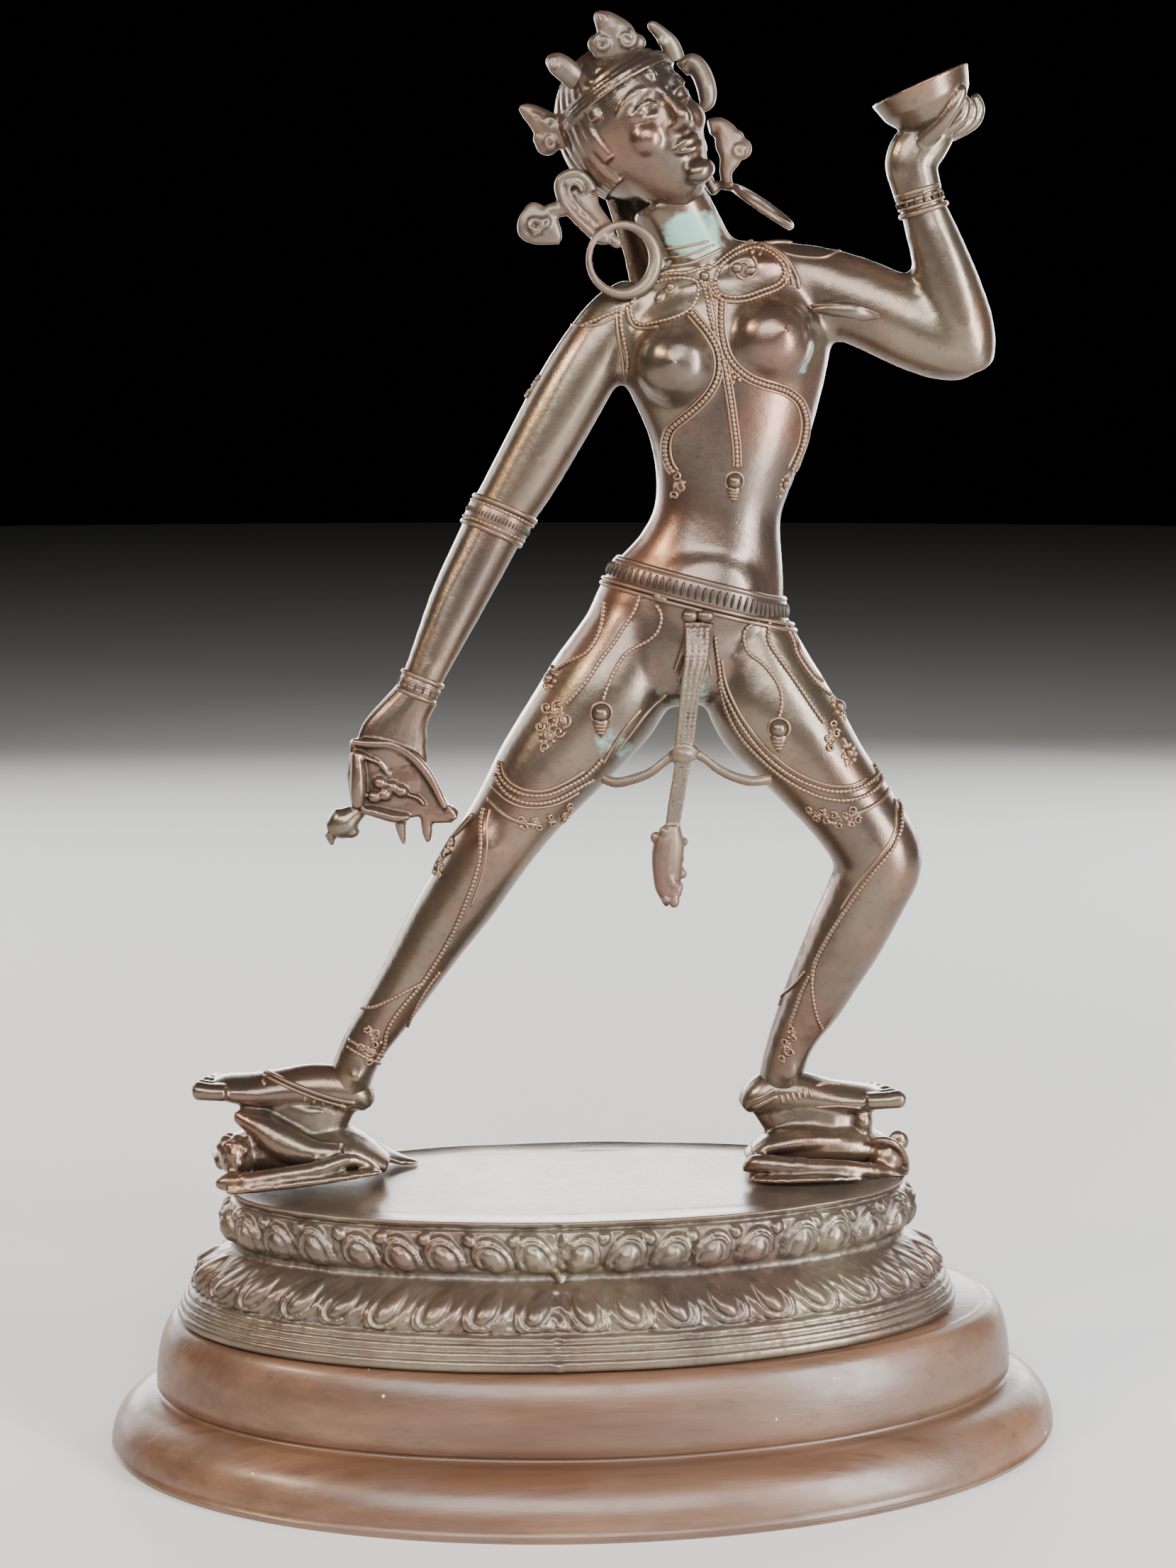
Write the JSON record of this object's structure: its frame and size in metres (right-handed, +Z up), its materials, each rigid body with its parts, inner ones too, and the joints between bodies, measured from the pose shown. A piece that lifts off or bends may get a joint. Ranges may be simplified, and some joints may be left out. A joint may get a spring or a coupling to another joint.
{
  "type": "vajrayogini statue",
  "caption": "Striding bronze sky-goddess with chopper and raised skull cup, trampling figures on an oval double lotus over a stepped wooden plinth",
  "frame": {"origin": "the middle of the plinth's underside, on the surface that the statue stands on", "axes": "+Z up; the figure looks along -Y; her right side is at -X"},
  "size_m": [0.278, 0.156, 0.4047],
  "materials": {
    "dark_wood": "satin varnish, soft highlights, a few pale specks",
    "lotus_bronze": "dull brown bronze, dark in the hollows, polished mirror-like on top",
    "figure_bronze": "dark brown polished bronze with coppery worn beads and pale green verdigris"
  },
  "bodies": {
    "root": {"wooden_plinth": "dark_wood", "lotus_base": "lotus_bronze", "vajrayogini_figure": "figure_bronze"}
  },
  "joints": []
}
